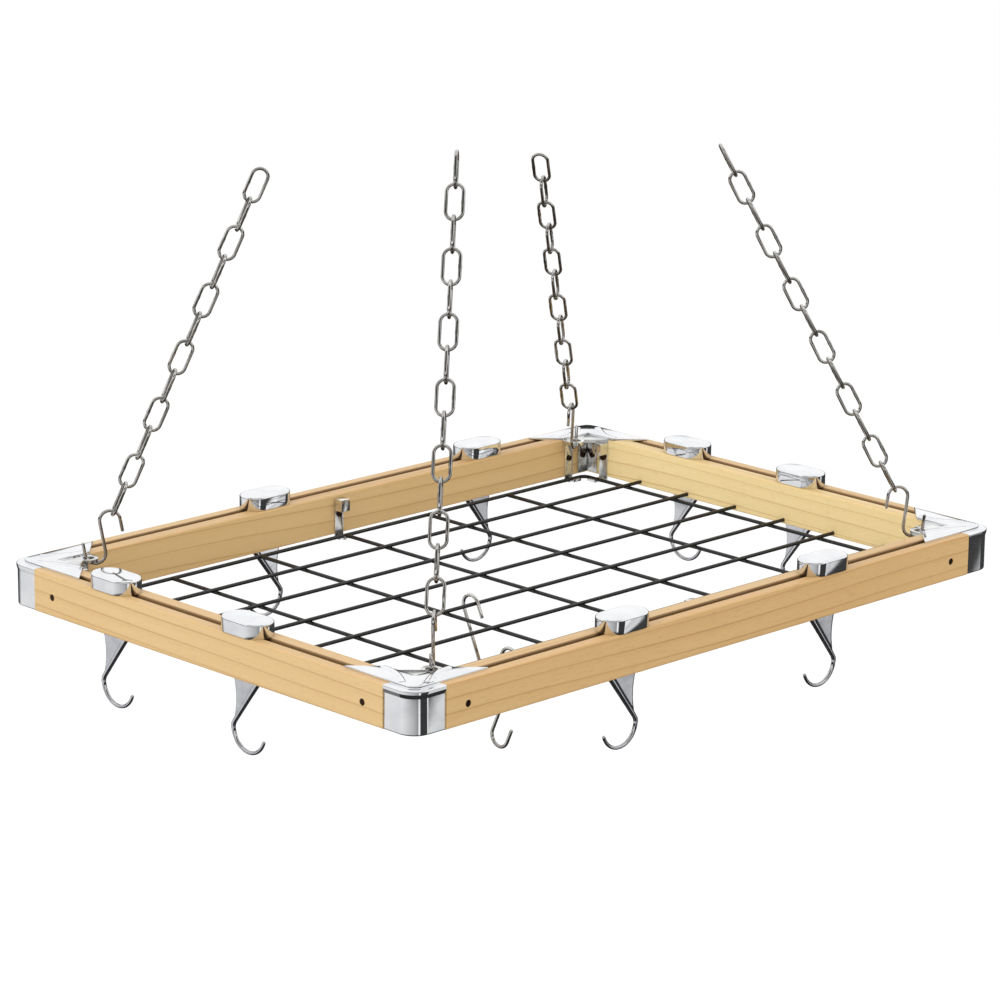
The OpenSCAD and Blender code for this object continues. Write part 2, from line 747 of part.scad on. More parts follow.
chain(FL, run_links + 1, links_fl - 1);  // chain_upper_front_left
chain(FR, run_links + 1, links_fr - 1);  // chain_upper_front_right
chain(BL, run_links + 1, links_bl - 1);  // chain_upper_back_left
chain(BR, run_links + 1, links_br - 1);  // chain_upper_back_right

chain(FL, links_fl, links_fl);  // top_link_front_left
chain(FR, links_fr, links_fr);  // top_link_front_right
chain(BL, links_bl, links_bl);  // top_link_back_left
chain(BR, links_br, links_br);  // top_link_back_right
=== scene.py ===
# %% [markdown]
# A hanging pot rack, dressed for its portrait. The CAD model already holds every part in its
# place, so this lesson only makes the parts look real: it models the castings, wires and links
# with fine edges, and paints wood, chrome, nickel and black enamel from nodes. Blender counts in
# metres and a workshop in millimetres, so mm() turns the one into the other.

# %% Load the frame
import math
import bmesh
import bpy
from mathutils import Matrix, Vector


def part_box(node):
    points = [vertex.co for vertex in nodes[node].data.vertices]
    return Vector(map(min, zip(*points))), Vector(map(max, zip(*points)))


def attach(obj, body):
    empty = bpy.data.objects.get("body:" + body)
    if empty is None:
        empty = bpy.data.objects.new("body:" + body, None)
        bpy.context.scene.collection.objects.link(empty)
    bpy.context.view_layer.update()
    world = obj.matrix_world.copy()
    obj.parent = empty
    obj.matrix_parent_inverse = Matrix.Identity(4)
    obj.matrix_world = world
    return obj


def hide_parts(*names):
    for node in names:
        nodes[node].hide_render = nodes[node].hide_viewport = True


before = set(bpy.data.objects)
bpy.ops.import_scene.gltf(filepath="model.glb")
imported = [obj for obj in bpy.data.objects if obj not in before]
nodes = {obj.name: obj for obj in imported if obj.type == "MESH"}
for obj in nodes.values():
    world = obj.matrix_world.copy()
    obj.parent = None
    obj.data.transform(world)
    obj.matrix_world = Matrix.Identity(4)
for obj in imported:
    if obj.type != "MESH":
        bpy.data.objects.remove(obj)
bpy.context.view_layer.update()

# %% [markdown]
# A modelled piece has to stand where its solid is. Its place could be typed in for each piece,
# but a few shared sizes are safer: they repeat the ones of the CAD source. The rails' underside
# is the base. Hooks hang below it, and caps and chains are above it.

# %% Sizes shared with the CAD model
def mm(*lengths):
    """Millimetres to metres: one number, or a point."""
    return lengths[0] / 1000 if len(lengths) == 1 else Vector(lengths) / 1000


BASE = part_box("outer_board_front")[0].z * 1000    # the rails' underside above the origin
FRAME_L, FRAME_W, RAIL_H = 840, 600, 44
OUTER, SLOT, RAIL_W = 13, 7, 36                   # outer board, slot, and the whole rail across
print("rails' underside at", round(BASE, 2), "mm")

# %% [markdown]
# Modelling by hand means picking faces, edges or points and pushing them about. In a script the
# picking is the hard part, because there is no mouse. These small tools pick by place or by
# direction, so that each step of a piece reads as a sentence.

# %% Tools for picking
FACING = 0.9     # a face looks along an axis if its normal has this much of it
CLOSE = 0.01     # mm: places nearer than this are the same


def rest():
    """Leaves edit mode with nothing selected."""
    if bpy.context.object and bpy.context.object.mode != "OBJECT":
        bpy.ops.object.mode_set(mode="OBJECT")
    bpy.ops.object.select_all(action="DESELECT")


def take(piece):
    """Selects one piece alone and makes it the active one."""
    rest()
    piece.select_set(True)
    bpy.context.view_layer.objects.active = piece


def begin(name):
    """Names the primitive just added and opens it in edit mode."""
    piece = bpy.context.object
    piece.name = piece.data.name = name
    bpy.ops.object.transform_apply(location=True, rotation=True, scale=True)
    bpy.ops.object.mode_set(mode="EDIT")


def middle(part):
    """The centre of a face, an edge or a point, in millimetres."""
    points = [part.co] if isinstance(part, bmesh.types.BMVert) else [v.co for v in part.verts]
    return sum(points, Vector()) / len(points) * 1000


def pick(kind, test):
    """Selects the verts, edges or faces that pass the test, and says how many."""
    bpy.ops.mesh.select_all(action="DESELECT")
    bpy.ops.mesh.select_mode(type={"verts": "VERT", "edges": "EDGE", "faces": "FACE"}[kind])
    mesh = bpy.context.object.data
    shape = bmesh.from_edit_mesh(mesh)
    chosen = [part for part in getattr(shape, kind) if test(part)]
    for part in chosen:
        part.select_set(True)
    shape.select_flush(True)
    bmesh.update_edit_mesh(mesh)
    return len(chosen)


def rim_at(level):
    """A test for the edges at one height where a flat face meets a wall."""
    def test(edge):
        faces = edge.link_faces
        return (abs(middle(edge).z - level) < CLOSE and len(faces) == 2
                and abs(faces[0].normal.z - faces[1].normal.z) > 0.5)
    return test


# %% [markdown]
# What is picked can be moved, drawn out, cut or rounded. Each of these tools calls one of
# Blender's own operators, the same that a key or a menu calls. The last two close a piece and
# measure it: a skin with open edges would show dark seams and couldn't be printed.

# %% Tools for shaping
SMOOTH_BELOW = math.radians(35)    # edges flatter than this are shaded round


def push(*step):
    """Moves the selection by millimetres."""
    bpy.ops.transform.translate(value=mm(*step))


def pull_out(*step):
    """Extrudes the selection by millimetres."""
    bpy.ops.mesh.extrude_region_move(TRANSFORM_OT_translate={"value": mm(*step)})


def cut(point, normal):
    """Cuts the whole mesh along a plane, and keeps both sides."""
    bpy.ops.mesh.select_all(action="SELECT")
    bpy.ops.mesh.bisect(plane_co=mm(*point), plane_no=normal)


def soften(width, segments, test):
    """Rounds the edges that pass the test."""
    count = pick("edges", test)
    bpy.ops.mesh.bevel(offset=mm(width), segments=segments, affect="EDGES", clamp_overlap=True)
    return count


def merge(distance):
    """Makes one of all points nearer to each other than this."""
    bpy.ops.mesh.select_all(action="SELECT")
    bpy.ops.mesh.remove_doubles(threshold=mm(distance))


def finish_shape(smooth=SMOOTH_BELOW):
    """Merges doubles, turns the faces outwards and leaves edit mode."""
    merge(0.005)
    bpy.ops.mesh.normals_make_consistent(inside=False)
    piece = bpy.context.object
    take(piece)
    bpy.ops.object.shade_smooth_by_angle(angle=smooth)
    rest()
    return piece


def report(piece):
    """Prints a piece's size in millimetres and whether its skin is closed."""
    shape = bmesh.new()
    shape.from_mesh(piece.data)
    open_edges = sum(1 for e in shape.edges if len(e.link_faces) != 2)
    places = [[v.co[axis] * 1000 for v in shape.verts] for axis in range(3)]
    size = [round(max(line) - min(line), 1) for line in places]
    print(f"{piece.name}: {size} mm, {len(shape.faces)} faces, {open_edges} open edges, "
          f"{shape.calc_volume() * 1e9:.0f} mm3")
    shape.free()


# %% [markdown]
# The camera stands where the photograph was taken from. Its place could be tried out by eye, but
# it was found by fitting the rack's corners to the picture: a long lens, fifteen degrees above
# the rack and nearly on its diagonal. The picture is square and 1000 pixels wide.

# %% Camera
PICTURE_PX, FILM = 1000, 36                 # the picture's width in pixels and on the film in mm
NEAR, FAR = 0.05, 60                        # m: what the lens can see


def look_from(azimuth, elevation, roll, distance, target, focal_px):
    """Places the camera at a distance from its target, by angles in degrees."""
    a, e, r = math.radians(azimuth), math.radians(elevation), math.radians(roll)
    back = Vector((math.sin(a) * math.cos(e), -math.cos(a) * math.cos(e), math.sin(e)))
    right = Vector((math.cos(a), math.sin(a), 0))
    up = back.cross(right)
    turned_right = right * math.cos(r) + up * math.sin(r)
    turned_up = up * math.cos(r) - right * math.sin(r)
    camera = bpy.data.objects.new("camera", bpy.data.cameras.new("camera"))
    bpy.context.collection.objects.link(camera)
    place = Matrix((turned_right, turned_up, back)).transposed().to_4x4()
    place.translation = target + back * distance
    camera.matrix_world = place
    camera.data.sensor_width = FILM
    camera.data.lens = focal_px / PICTURE_PX * FILM
    camera.data.clip_start, camera.data.clip_end = NEAR, FAR
    bpy.context.scene.camera = camera
    return camera


camera = look_from(azimuth=-44.6, elevation=15.32, roll=0.57, distance=4.3562,
                   target=mm(8.3, 24.2, 84.3 + BASE), focal_px=4201.2)
print("camera at", [round(x, 3) for x in camera.location], "lens", round(camera.data.lens, 1))

# %% [markdown]
# A finish is a network of shader nodes. It could be wired by hand, node by node, but it is easier
# to read as sums. Tone wraps a socket, and arithmetic on it adds Math nodes. Finish holds one
# material's nodes, and its add() makes any other node: the type, its settings, then its inputs.

# %% Tone and Finish
class Tone:
    """A socket that can be used in sums."""

    def __init__(self, finish, socket):
        self.finish, self.socket = finish, socket

    def math(self, operation, *others):
        inputs = dict(enumerate((self, *others)))
        return self.finish.add("ShaderNodeMath", {"operation": operation}, inputs)

    def __add__(self, other):
        return self.math("ADD", other)

    def __mul__(self, other):
        return self.math("MULTIPLY", other)

    def __sub__(self, other):
        return self.math("SUBTRACT", other)

    def __rsub__(self, other):
        return self.finish.add("ShaderNodeMath", {"operation": "SUBTRACT"}, {0: other, 1: self})

    __radd__, __rmul__ = __add__, __mul__


class Finish:
    """The nodes of one material or of the world."""

    def __init__(self, owner):
        owner.use_nodes = True
        self.owner, self.tree = owner, owner.node_tree
        self.tree.nodes.clear()

    def add(self, kind, settings=None, inputs=None, output=0):
        """Makes a node; "stops" are a ramp's places and grey levels."""
        node = self.tree.nodes.new(kind)
        for key, value in (settings or {}).items():
            if key == "stops":
                while len(node.color_ramp.elements) < len(value):
                    node.color_ramp.elements.new(1)
                for stop, (place, level) in zip(node.color_ramp.elements, value):
                    stop.position, stop.color = place, (level, level, level, 1)
            else:
                setattr(node, key, value)
        for key, value in (inputs or {}).items():
            if isinstance(value, Tone):
                self.tree.links.new(value.socket, node.inputs[key])
            else:
                node.inputs[key].default_value = value
        return Tone(self, node.outputs[output]) if node.outputs else None


# %% [markdown]
# Some nodes come up in every finish, so each gets a short name. Noise reads Object coordinates,
# which stay with a piece when it moves, and a Mapping node stretches it into streaks or flecks.
# Colours are written as on a paint chart and made linear, because the shader counts light.

# %% Nodes that every finish uses
def colour(red, green, blue):
    """A colour as a paint chart gives it, 0 to 255, made linear."""
    return (*[((c / 255 + 0.055) / 1.055) ** 2.4 if c > 10 else c / 3295
              for c in (red, green, blue)], 1)


def blend(finish, factor, first, second):
    """A mix of two colours."""
    inputs = {0: factor, 6: first, 7: second}
    return finish.add("ShaderNodeMix", {"data_type": "RGBA", "blend_type": "MIX"}, inputs, 2)


def noise(finish, waves, detail=2, roughness=0.5, shift=(0, 0, 0)):
    """Noise with this many waves to a metre in X, Y and Z."""
    place = finish.add("ShaderNodeTexCoord", {}, {}, "Object")
    place = finish.add("ShaderNodeMapping", {},
                       {"Vector": place, "Location": shift, "Scale": waves})
    return finish.add("ShaderNodeTexNoise", {}, {"Vector": place, "Scale": 1,
                                                 "Detail": detail, "Roughness": roughness})


def ramp(finish, value, stops):
    """Turns a value into levels of grey by its stops."""
    return finish.add("ShaderNodeValToRGB", {"stops": stops}, {0: value})


def bump(finish, strength, distance, relief):
    """Lets a relief bend the light without moving the surface."""
    return finish.add("ShaderNodeBump", {},
                      {"Strength": strength, "Distance": distance, "Height": relief})


def surface(finish, inputs):
    """Ends a material with the shader that every piece here has."""
    shader = finish.add("ShaderNodeBsdfPrincipled", {}, inputs)
    finish.add("ShaderNodeOutputMaterial", {}, {"Surface": shader})
    return finish.owner


def new_finish(name):
    return Finish(bpy.data.materials.new(name))


# %% [markdown]
# The boards are pale maple under a satin lacquer. Its growth rings show on the faces as long,
# slowly wandering lines a centimetre or two apart. Blender has a Wave node for rings, but its
# lines come out too even. Here a ring is made by counting height and depth, bending the count
# with stretched noise and keeping the fraction, so that every line can be shaped with a ramp.

# %% Maple's growth rings
RINGS_UP, RINGS_IN = 66, 31    # rings to a metre of height and of depth
WANDER = 3.4                   # how many rings a line may stray
RING_STOPS = [(0, 0.25), (0.08, 0), (0.55, 0.08), (0.86, 0.55), (0.95, 1), (1, 0.3)]
LINE_STOPS = [(0.89, 0), (0.94, 1), (0.955, 1), (0.985, 0)]


def grain(wood, along_x, along, across, shift, detail=2, roughness=0.5):
    """Noise drawn out along a board: its waves to a metre along the board and across it."""
    waves = (along, across, across) if along_x else (across, along, across)
    return noise(wood, waves, detail, roughness, shift)


def growth_rings(wood, along_x, shift, height, depth):
    """How far into a soft ring and into its thin dark line a point is, 0 to 1."""
    wander = grain(wood, along_x, 1.1, 7, (shift, shift * 1.7, shift * 0.6), 2, 0.4)
    count = height * RINGS_UP + depth * RINGS_IN + wander * WANDER + shift
    part = count.math("FRACT")
    return ramp(wood, part, RING_STOPS), ramp(wood, part, LINE_STOPS)


# %% [markdown]
# Over the rings come the fibres as fine streaks and the pores as short flecks. Each is a darker
# tone of the board's own colour, laid on by its pattern. The rounded edges are warmer, where
# lacquer gathers. The faces towards the slot get a painted shade, as they never see much light.

# %% Maple's colour
EDGE_STOPS = [(0, 1), (0.035, 0.4), (0.09, 0), (0.93, 0), (0.975, 0.3), (1, 0.6)]
SLOT_SHADE_STOPS = [(0, 1), (0.12, 1), (0.40, 0)]
SLOT_SHADE_FADE = 250    # the painted slot shade fades within 1/250 m of depth
# painted shade: the dark tone laid on the faces towards the slot
SLOT_SHADE_TONE = (104, 70, 38)


def maple(name, along_x, shift, sap_and_light, inner):
    """One board's wood: sap is its colour, which on three boards holds painted light and shade;
    shift moves its pattern, inner is its layer.
    """
    wood = new_finish(name)
    place = wood.add("ShaderNodeTexCoord", {}, {}, "Object")
    height = wood.add("ShaderNodeSeparateXYZ", {}, {"Vector": place}, "Z")
    depth = wood.add("ShaderNodeSeparateXYZ", {}, {"Vector": place}, "Y" if along_x else "X")
    ring, line = growth_rings(wood, along_x, shift, height, depth)
    uneven = grain(wood, along_x, 3, 40, (shift, 0, 0))
    fibre = grain(wood, along_x, 10, 520, (shift, 0, 0), 3, 0.6)
    pores = grain(wood, along_x, 90, 1700, (0, shift, 0), 1)
    fleck = ramp(wood, pores, [(0.62, 0), (0.72, 1)])
    blotch = grain(wood, along_x, 2.2, 11, (0, 0, shift), 3)

    def darker(amount, under, *shade):
        """Lays a shade of the sapwood over a tone."""
        return blend(wood, amount, under, colour(*[s * k for s, k in zip(sap_and_light, shade)]))

    tone = darker(ring * uneven * 0.8, colour(*sap_and_light), 0.90, 0.83, 0.72)
    tone = darker(line * uneven * 0.95, tone, 0.76, 0.66, 0.54)
    tone = darker((blotch - 0.42) * 1.1, tone, 0.94, 0.89, 0.81)
    tone = darker(fibre * 0.16, tone, 0.76, 0.66, 0.55)
    tone = darker(fleck * 0.22, tone, 0.60, 0.48, 0.40)
    edge = ramp(wood, (height - mm(BASE)) * (1000 / RAIL_H), EDGE_STOPS)
    tone = darker(edge * 0.5, tone, 0.83, 0.72, 0.58)

    # painted shade on the faces towards the slot, where little light reaches
    half = FRAME_W / 2 if along_x else FRAME_L / 2
    from_outside = mm(half) - depth.math("ABSOLUTE")
    wall, way = (OUTER + SLOT, 1) if inner else (OUTER, -1)
    slot_shade = ramp(wood, (from_outside - mm(wall)) * (way * SLOT_SHADE_FADE), SLOT_SHADE_STOPS)
    tone = blend(wood, slot_shade * 0.8, tone, colour(*SLOT_SHADE_TONE))
    relief = fibre * 0.5 + fleck * -0.4 + ring * -0.25 + line * -0.5
    skin = bump(wood, 0.22, 0.0004, relief)
    return surface(wood, {"Base Color": tone, "Roughness": fibre * 0.14 + 0.36 + ring * 0.06,
                          "Normal": skin, "Coat Weight": 0.18, "Coat Roughness": 0.28})


# %% [markdown]
# No two boards come from the same place in a tree. One material for all would save nodes, but
# the same lines would then show on every board. So each board gets a shift of its own. Three
# boards also get a tone of their own, which is painted light and shade on their faces: the outer
# front and inner back boards are painted darker and a little redder, the inner right one paler.

# %% Eight boards of maple
COMMON_SAP = (218, 186, 132)
# painted light and shade: the outer front and inner back boards darker, the inner right board paler
SAP_PAINTED_LIGHT = {"outer_front": (215, 178, 120), "inner_back": (214, 180, 124),
       "inner_right": (238, 215, 158)}
boards = []
for number, side in enumerate(["front", "back", "left", "right"]):
    for layer in ("outer", "inner"):
        shift = 3.1 * number + (1.7 if layer == "inner" else 0) + 0.4
        sap_and_light = SAP_PAINTED_LIGHT.get(f"{layer}_{side}", COMMON_SAP)
        board = maple(f"maple_{layer}_{side}", side in ("front", "back"), shift, sap_and_light,
                      layer == "inner")
        nodes[f"{layer}_board_{side}"].material_slots[0].material = board
        boards.append(board)
print("maple on", len(boards), "boards")

# %% [markdown]
# Four platings and a browned steel, all from one recipe. Chrome on caps and corners is mirror
# bright but never quite flat, so a slow ripple bends its reflections and faint wiping marks dull
# it. The cast hooks are a shade darker. Nickel on the chain and the bent wires is darker still
# and warmer, zinc on brackets and clips is dull, and the screws are brown.

# %% Metals
def plated(name, clean, worn, gloss, dull, ripple, peel):
    """A metal between a clean and a worn colour and between two roughnesses."""
    metal = new_finish(name)
    patches = noise(metal, (38, 38, 52), 4, 0.6)
    wiping = noise(metal, (420, 300, 900), 3)
    worn_here = ramp(metal, patches, [(0.38, 0), (0.68, 1)])
    tone = blend(metal, worn_here * 0.8, colour(*clean), colour(*worn))
    slow = noise(metal, (55, 55, 55), 1)
    skin = bump(metal, 0.5, 0.001, slow * ripple + wiping * peel)
    rough = worn_here * (dull - gloss) + wiping * 0.03 + gloss
    return surface(metal, {"Base Color": tone, "Metallic": 1.0, "Roughness": rough,
                           "Normal": skin})


chrome = plated("chrome", (238, 239, 241), (222, 224, 228), 0.04, 0.09, 0.10, 0.003)
cast_chrome = plated("cast_chrome", (212, 213, 217), (178, 180, 186), 0.05, 0.12, 0.12, 0.005)
nickel = plated("nickel", (208, 206, 203), (150, 147, 142), 0.05, 0.11, 0.06, 0.006)
zinc = plated("zinc", (236, 236, 234), (206, 206, 204), 0.16, 0.28, 0.05, 0.020)
browned = plated("browned_steel", (74, 52, 40), (44, 32, 28), 0.30, 0.46, 0.04, 0.020)
print("metals:", [metal.name for metal in (chrome, cast_chrome, nickel, zinc, browned)])

# %% [markdown]
# The grid is dipped in black enamel. A dip runs thicker in some places than in others, and it
# dries with a fine orange peel, so both the colour and the gloss vary a little. A plain black
# would swallow the wires' roundness.

# %% Black enamel
def enamel(name):
    black = new_finish(name)
    peel = noise(black, (900, 900, 900))
    thick = noise(black, (60, 60, 60), 3)
    tone = blend(black, thick, colour(12, 11, 11), colour(24, 22, 21))
    skin = bump(black, 0.3, 0.0003, peel + thick * 0.6)
    return surface(black, {"Base Color": tone, "Roughness": thick * 0.16 + 0.3, "Normal": skin})


black_enamel = enamel("black_enamel")
print("enamel:", black_enamel.name)

# %% [markdown]
# A slider cap is a chromed cover with round ends that rides on the rail. It could be a box with
# two cylinders, but the side must run on without a seam, so one round disc is pulled apart at
# its middle. Its top edge is rounded wide, because that edge catches the light, and the
# underside is hollowed to its wall.

# %% Slider cap
CAP_L, CAP_W, CAP_H = 60, 35, 15
CAP_WALL, CAP_ROOF = 2.5, 2.6
CAP_EDGE, CAP_HEM = 2.3, 0.35    # how far the upper and the lower edge are rounded
CAP_SIDES = 64


def model_cap():
    rest()
    bpy.ops.mesh.primitive_cylinder_add(vertices=CAP_SIDES, radius=mm(CAP_W / 2), depth=mm(CAP_H),
                                        location=mm(0, 0, CAP_H / 2),
                                        rotation=(0, 0, math.pi / CAP_SIDES))
    begin("cap_pattern")
    for side in (-1, 1):
        pick("verts", lambda v: v.co.x * side > 0)
        push(side * (CAP_L - CAP_W) / 2, 0, 0)
    pick("faces", lambda f: f.normal.z < -FACING)
    bpy.ops.mesh.inset(thickness=mm(CAP_WALL))
    pull_out(0, 0, CAP_H - CAP_ROOF)
    rims = soften(CAP_EDGE, 6, rim_at(CAP_H))
    soften(CAP_HEM, 2, rim_at(0))
    print("cap rim edges rounded:", rims)
    return finish_shape()


cap_pattern = model_cap()
report(cap_pattern)

# %% [markdown]
# What repeats on the rack is modelled once and copied. A pattern could be linked many times, but
# each copy needs a mesh of its own with its place written into it, because the export expects
# every object at the origin. Then a copy is dressed: it gets its finish and the body it moves
# with, and the CAD node that it stands for is hidden.

# %% Tools for copies
def moved(*step):
    """A matrix that moves by millimetres."""
    return Matrix.Translation(mm(*step))


def turned(angle, axis):
    """A matrix that turns by radians about an axis."""
    return Matrix.Rotation(angle, 4, axis)


def copy_to(pattern, name, matrix):
    """A copy with a mesh of its own, its place written into the mesh."""
    piece = pattern.copy()
    piece.data = pattern.data.copy()
    piece.name = piece.data.name = name
    bpy.context.collection.objects.link(piece)
    piece.matrix_world = matrix
    take(piece)
    bpy.ops.object.transform_apply(location=True, rotation=True, scale=True)
    rest()
    return piece


def discard(piece):
    """Removes a pattern once its copies are made."""
    bpy.data.objects.remove(piece)


def dress(piece, finish, body, node):
    """Gives a new piece its finish, the body it moves with and the node it replaces."""
    piece.data.materials.clear()
    piece.data.materials.append(finish)
    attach(piece, body)
    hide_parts(node)


# %% [markdown]
# Eight sliders stand on the rails, two to a rail. Their places could be typed in, but a cap that
# is only a little off would hang over its hook, so each place is read from the CAD cap's box,
# with a quarter turn on the short rails.

# %% Eight caps
RAIL_HOOKS = ["front_left", "front_right", "back_left", "back_right",
              "left_front", "left_back", "right_front", "right_back"]
CAP_GAP = 0.1    # mm between cap and rail


def slider_place(key):
    """A slider's own frame: X along its rail, and Z up from the rail's underside."""
    low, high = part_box(f"cap_{key}")
    centre = (low + high) / 2
    turn = 0 if key.startswith(("front", "back")) else math.pi / 2
    return Matrix.Translation((centre.x, centre.y, mm(BASE))) @ turned(turn, "Z")


for key in RAIL_HOOKS:
    place = slider_place(key)
    cap = copy_to(cap_pattern, f"slider_cap_{key}", place @ moved(0, 0, RAIL_H + CAP_GAP))
    dress(cap, chrome, f"rail_hook_{key}", f"cap_{key}")
    print(cap.name, "at", [round(x * 1000) for x in place.translation.xy])
discard(cap_pattern)

# %% [markdown]
# A pot hook is one casting: a flat blade that goes up through the slot, a stout rib down its
# slanted edge, and a round J. The blade could be drawn as an outline and thickened, but an
# upright bar cut into rows is quicker: each row's ends are pushed in, straight on the slanted
# side and in a shallow wave on the other, as in the photograph.

# %% Blade of the pot hook
BLADE_W, BLADE_T = 40, 3.8
BLADE_TOP, BLADE_LOW = 56.59, -52
SLANT_TOP, SLANT_X, SLANT_Z = 4, 38.5, 52.5    # where the slant starts, its run and its drop
ROW = 4                                        # the bar is cut into rows this high
WAIST = 4                                      # how deep the wave on the other side is
BLADE_FOOT, BLADE_HEAD = 0.3, 0.65             # what is left of the width at both ends
BLADE_EDGE = 0.7


def model_blade():
    rest()
    bpy.ops.mesh.primitive_cube_add(size=1, location=mm(0, 0, (BLADE_TOP + BLADE_LOW) / 2),
                                    scale=mm(BLADE_W, BLADE_T, BLADE_TOP - BLADE_LOW))
    begin("blade")
    rows = range(SLANT_TOP, BLADE_LOW - 1, -ROW)
    for z in rows:
        cut((0, 0, z), (0, 0, 1))
    for z in rows:
        pick("verts", lambda v: abs(middle(v).z - z) < 0.1 and middle(v).x > 1)
        push(-WAIST * math.sin(math.pi * max(0, z / BLADE_LOW)), 0, 0)
        pick("verts", lambda v: abs(middle(v).z - z) < 0.1 and middle(v).x < -1)
        push((SLANT_TOP - z) / SLANT_Z * SLANT_X, 0, 0)
    pick("verts", lambda v: middle(v).z < BLADE_LOW + 0.1)
    bpy.ops.transform.resize(value=(BLADE_FOOT, 1, 1),
                             center_override=mm(BLADE_W / 2, 0, BLADE_LOW))

    def long_edge(e):
        """An edge of the blade's flat sides that runs up or down."""
        return (abs(abs(middle(e).y) - BLADE_T / 2) < CLOSE and abs(middle(e).x) > 5
                and abs((e.verts[0].co - e.verts[1].co).z) > mm(1))
    edges = soften(BLADE_EDGE, 2, long_edge)
    # the head that holds the blade in its cap
    pick("faces", lambda f: f.normal.z > FACING and middle(f).z > 50)
    bpy.ops.transform.resize(value=(BLADE_HEAD, 1, 1))
    print("blade rows:", len(rows), "long edges:", edges)
    return finish_shape()


blade = model_blade()
report(blade)

# %% [markdown]
# The J under the blade is a round bar that is thinner towards its tip. A curve with a bevel
# would make it too, but its ends would be flat. Here a disc is drawn through stations: at each
# one it is pulled on, turned and scaled, and a few short last steps round the tip.

# %% J of the pot hook
SWEEP_SIDES = 14
J_RADIUS, J_X, J_Z = 23, -1, -55               # the bar's middle line and its centre
J_START, J_TURN, J_STEPS = -6, 166, 24         # degrees
J_THICK, J_THINNER = 4.7, 0.9
J_TIP = [(0.8, 0.9), (1.4, 0.62), (1.75, 0.25)]    # reach beyond the end, and share of its size


def sweep(name, stations):
    """Draws a disc through stations of x, z, tilt, width and thickness."""
    x, z, tilt, wide, thick = stations[0]
    rest()
    bpy.ops.mesh.primitive_circle_add(vertices=SWEEP_SIDES, radius=mm(thick / 2),
                                      fill_type="NGON", location=mm(x, 0, z),
                                      rotation=(0, tilt, 0))
    begin(name)
    bpy.ops.mesh.select_all(action="SELECT")
    bpy.ops.transform.resize(value=(wide / thick, 1, wide / thick), center_override=mm(x, 0, z))
    for before, after in zip(stations, stations[1:]):
        pull_out(after[0] - before[0], 0, after[1] - before[1])
        centre = mm(after[0], 0, after[1])
        turn = after[2] - before[2]
        if abs(turn) > 1e-6:
            # in a script without a window, rotate turns the other way
            bpy.ops.transform.rotate(value=-turn, orient_axis="Y", center_override=centre)
        wider, thicker = after[3] / before[3], after[4] / before[4]
        bpy.ops.transform.resize(value=(wider, thicker, wider), center_override=centre)
    return finish_shape()


def j_stations():
    """Round the J's centre, and then straight on for the tip."""
    stations = []
    for step in range(J_STEPS + 1):
        turn = math.radians(J_START + J_TURN * step / J_STEPS)
        bar = J_THICK - J_THINNER * step / J_STEPS
        stations.append((J_X + J_RADIUS * math.cos(turn), J_Z - J_RADIUS * math.sin(turn),
                         turn, bar, bar))
    x, z, tilt, bar, bar = stations[-1]
    for reach, size in J_TIP:
        stations.append((x - math.sin(tilt) * reach, z - math.cos(tilt) * reach, tilt,
                         bar * size, bar * size))
    return stations


j_bar = sweep("j_bar", j_stations())
report(j_bar)

# %% [markdown]
# The rib carries the load from the rail to the J, so it is deep at the top and slim at the neck.
# It follows the blade's slanted edge and then turns down into the J. The same sweep draws it,
# this time with an oval in place of a round.

# %% Rib of the pot hook
RIB_LINE = [(-20, 4), (-16, -1.5), (-8, -12.5), (0, -23.4), (9, -35.6), (15, -43.8),
            (18.5, -48.6), (20.8, -52), (22, -55.5), (22, -58)]
RIB_DEEP = [8.4, 8.2, 7.2, 6.4, 5.8, 5.4, 5.2, 5.1, 5.0, 4.8]
RIB_THICK = 5.2


def rib_stations():
    """Down the slant, and upright at the neck."""
    slope = math.atan2(SLANT_X, SLANT_Z)
    tilts = [-slope] * 6 + [-slope * 0.8, -slope * 0.4, -0.05, 0.0]
    return [(x, z, tilt, deep, min(RIB_THICK, deep))
            for (x, z), tilt, deep in zip(RIB_LINE, tilts, RIB_DEEP)]


rib = sweep("rib", rib_stations())
report(rib)

# %% [markdown]
# Blade, rib and J only overlap so far. A boolean union would leave a hard crease between them.
# A fine voxel remesh makes one skin of them, and a little smoothing leaves the small fillets
# that a mould gives.

# %% Fuse the pot hook
def join(pieces, name):
    """Makes one object of several, under the first one's place and a new name."""
    take(pieces[0])
    for piece in pieces:
        piece.select_set(True)
    if len(pieces) > 1:
        bpy.ops.object.join()
    pieces[0].name = pieces[0].data.name = name
    rest()
    return pieces[0]


def apply_modifier(piece, kind, **settings):
    """Adds a modifier and makes its result the mesh."""
    take(piece)
    modifier = piece.modifiers.new(kind.lower(), kind)
    for key, value in settings.items():
        setattr(modifier, key, value)
    bpy.ops.object.modifier_apply(modifier=modifier.name)
    rest()


hook_pattern = join([blade, rib, j_bar], "hook_pattern")
apply_modifier(hook_pattern, "REMESH", mode="VOXEL", voxel_size=mm(0.75), use_smooth_shade=True)
apply_modifier(hook_pattern, "SMOOTH", factor=0.5, iterations=4)
report(hook_pattern)
for key in RAIL_HOOKS:
    hook = copy_to(hook_pattern, f"pot_hook_{key}", slider_place(key))
    dress(hook, cast_chrome, f"rail_hook_{key}", f"hook_{key}")
print("pot hooks:", len(RAIL_HOOKS))
discard(hook_pattern)

# %% [markdown]
# A corner casting wraps the rails' ends. Its post is a block with one corner rounded wide, and
# with a leg along each rail. A bevel is limited by the nearest edge, so the corner is rounded
# first, and the cuts that mark off the legs come after it.

# %% Block and legs of the corner post
POST, POST_ROUND = 20, 19.9      # the block, and the radius of its outer corner
POST_L = 41.95                   # from the outer corner to a leg's end


